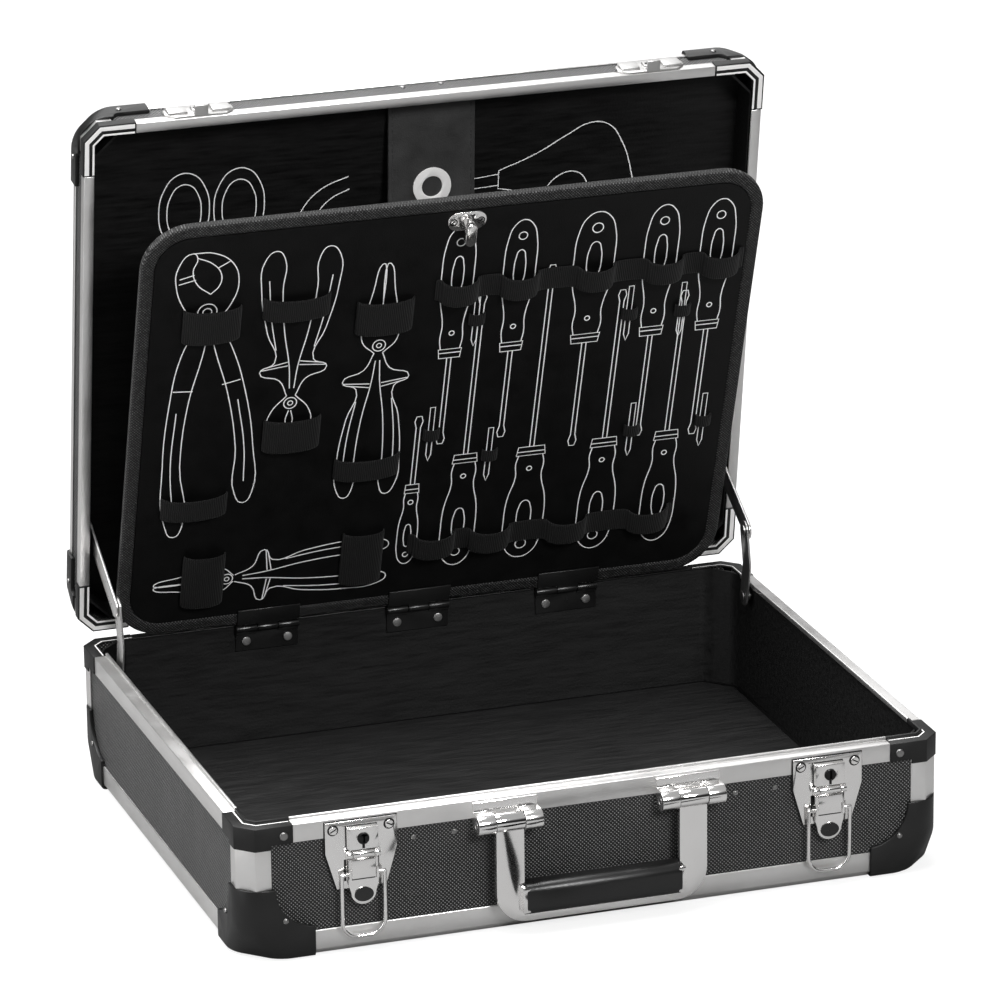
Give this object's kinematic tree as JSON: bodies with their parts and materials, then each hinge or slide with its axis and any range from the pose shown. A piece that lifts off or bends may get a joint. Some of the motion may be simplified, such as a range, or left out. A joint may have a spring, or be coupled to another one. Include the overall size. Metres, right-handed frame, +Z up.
{
  "type": "tool case",
  "caption": "Open attache tool case with an aluminium frame, embossed black panels, a leaning tool pallet with elastic loops, draw latches, lid stays and a swing handle.",
  "frame": {"origin": "Centre of the base's flat underside", "axes": "+X to the user's right with the latches in front, +Y to the hinge, +Z up"},
  "size_m": [0.4654, 0.411, 0.4581],
  "materials": {
    "satin_aluminium": "satin anodised extrusion with fine lengthwise brushing",
    "textured_panel": "charcoal laminate embossed with small diamonds",
    "moulded_black": "satin black moulding",
    "liner_vinyl": "black vinyl lining with a faint streaked grain",
    "rivet_steel": "bright zinc",
    "chrome": "bright nickel plate",
    "stay_steel": "zinc-plated flat steel",
    "black_hinge": "satin black enamel",
    "screw_steel": "bright zinc",
    "strap_leather": "charcoal leatherette, stitched edges",
    "pallet_vinyl": "black grained vinyl with fine white line print",
    "pallet_edging": "black textured vinyl binding",
    "elastic": "black ribbed elastic",
    "grip_black": "satin black moulded grip"
  },
  "bodies": {
    "base": {"base_rim": "satin_aluminium", "base_edge_trim": "satin_aluminium", "base_corner_posts": "satin_aluminium", "base_front_panel": "textured_panel", "base_back_panel": "textured_panel", "base_left_panel": "textured_panel", "base_right_panel": "textured_panel", "base_floor_panel": "textured_panel", "base_corner_guards": "moulded_black", "base_rim_corners": "moulded_black", "base_hinge_rail": "moulded_black", "base_liner": "liner_vinyl", "base_rivets": "rivet_steel", "lid_hinge_base_leaf": "rivet_steel", "lid_hinge_pin": "rivet_steel", "latch_plates": "chrome", "handle_brackets": "chrome", "handle_pins": "chrome", "pallet_hinge_base_leaves": "black_hinge", "pallet_hinge_pins": "black_hinge", "pallet_hinge_screws": "screw_steel"},
    "lid": {"lid_rim": "satin_aluminium", "lid_edge_trim": "satin_aluminium", "lid_corner_posts": "satin_aluminium", "lid_front_panel": "textured_panel", "lid_back_panel": "textured_panel", "lid_left_panel": "textured_panel", "lid_right_panel": "textured_panel", "lid_top_panel": "textured_panel", "lid_corner_guards": "moulded_black", "lid_rim_corners": "moulded_black", "lid_hinge_rail": "moulded_black", "lid_liner": "liner_vinyl", "lid_rivets": "rivet_steel", "lid_hinge_leaf": "rivet_steel", "lid_catches": "chrome", "lid_strap": "strap_leather", "strap_eyelet": "chrome"},
    "pallet": {"pallet_hinge_leaves": "black_hinge", "pallet_board": "pallet_vinyl", "pallet_edging": "pallet_edging", "pallet_upper_elastic": "elastic", "pallet_lower_elastic": "elastic", "pallet_plier_elastics": "elastic", "pallet_small_elastics": "elastic", "turn_lock_plate": "chrome"},
    "turn_lock_knob": {"turn_lock_knob": "chrome"},
    "handle": {"handle_frame": "chrome", "handle_grip": "grip_black"},
    "lever_left": {"latch_lever_left": "chrome"},
    "lever_right": {"latch_lever_right": "chrome"},
    "bail_left": {"latch_bail_left": "chrome"},
    "bail_right": {"latch_bail_right": "chrome"},
    "lock_left": {"lock_cylinder_left": "chrome"},
    "lock_right": {"lock_cylinder_right": "chrome"},
    "stay_lower_left": {"stay_lower_link_left": "stay_steel"},
    "stay_lower_right": {"stay_lower_link_right": "stay_steel"},
    "stay_upper_left": {"stay_upper_link_left": "stay_steel"},
    "stay_upper_right": {"stay_upper_link_right": "stay_steel"}
  },
  "joints": [
    {"name": "lid_hinge", "type": "hinge", "parent": "base", "child": "lid", "pos_m": [0, 0.185, 0.0883], "axis": [1, 0, 0], "range_deg": [0, 81]},
    {"name": "pallet_fold", "type": "hinge", "parent": "base", "child": "pallet", "pos_m": [0, 0.1704, 0.086], "axis": [1, 0, 0], "range_deg": [0, 71.5]},
    {"name": "turn_lock", "type": "hinge", "parent": "pallet", "child": "turn_lock_knob", "pos_m": [0.005, 0.07188, 0.38045], "axis": [0, -0.9483, -0.3173], "range_deg": [0, 90]},
    {"name": "handle_swing", "type": "hinge", "parent": "base", "child": "handle", "pos_m": [0, -0.189, 0.074], "axis": [-1, 0, 0], "range_deg": [0, 110]},
    {"name": "lever_left", "type": "hinge", "parent": "base", "child": "lever_left", "pos_m": [-0.153, -0.1856, 0.065], "axis": [1, 0, 0], "range_deg": [-75, 0]},
    {"name": "bail_left", "type": "hinge", "parent": "lever_left", "child": "bail_left", "pos_m": [-0.153, -0.1856, 0.052], "axis": [-1, 0, 0], "range_deg": [0, 180]},
    {"name": "key_left", "type": "hinge", "parent": "base", "child": "lock_left", "pos_m": [-0.153, -0.186, 0.0754], "axis": [0, -1, 0], "range_deg": [0, 90]},
    {"name": "stay_lower_left", "type": "hinge", "parent": "base", "child": "stay_lower_left", "pos_m": [-0.2177, 0.13, 0.08], "axis": [1, 0, 0], "range_deg": [0, 162]},
    {"name": "stay_upper_left", "type": "hinge", "parent": "lid", "child": "stay_upper_left", "pos_m": [-0.2197, 0.18885, 0.16181], "axis": [1, 0, 0], "range_deg": [-21, 0]},
    {"name": "lever_right", "type": "hinge", "parent": "base", "child": "lever_right", "pos_m": [0.153, -0.1856, 0.065], "axis": [1, 0, 0], "range_deg": [-75, 0]},
    {"name": "bail_right", "type": "hinge", "parent": "lever_right", "child": "bail_right", "pos_m": [0.153, -0.1856, 0.052], "axis": [-1, 0, 0], "range_deg": [0, 180]},
    {"name": "key_right", "type": "hinge", "parent": "base", "child": "lock_right", "pos_m": [0.153, -0.186, 0.0754], "axis": [0, -1, 0], "range_deg": [0, 90]},
    {"name": "stay_lower_right", "type": "hinge", "parent": "base", "child": "stay_lower_right", "pos_m": [0.2177, 0.13, 0.08], "axis": [1, 0, 0], "range_deg": [0, 162]},
    {"name": "stay_upper_right", "type": "hinge", "parent": "lid", "child": "stay_upper_right", "pos_m": [0.2197, 0.18885, 0.16181], "axis": [1, 0, 0], "range_deg": [-21, 0]}
  ],
  "couplings": [
    {"joint": "pallet_fold", "follows": "lid_hinge", "ratio": 0.88272},
    {"joint": "stay_lower_left", "follows": "lid_hinge", "ratio": 1.9916},
    {"joint": "stay_upper_left", "follows": "lid_hinge", "ratio": -0.25305},
    {"joint": "stay_lower_right", "follows": "lid_hinge", "ratio": 1.9916},
    {"joint": "stay_upper_right", "follows": "lid_hinge", "ratio": -0.25305}
  ]
}
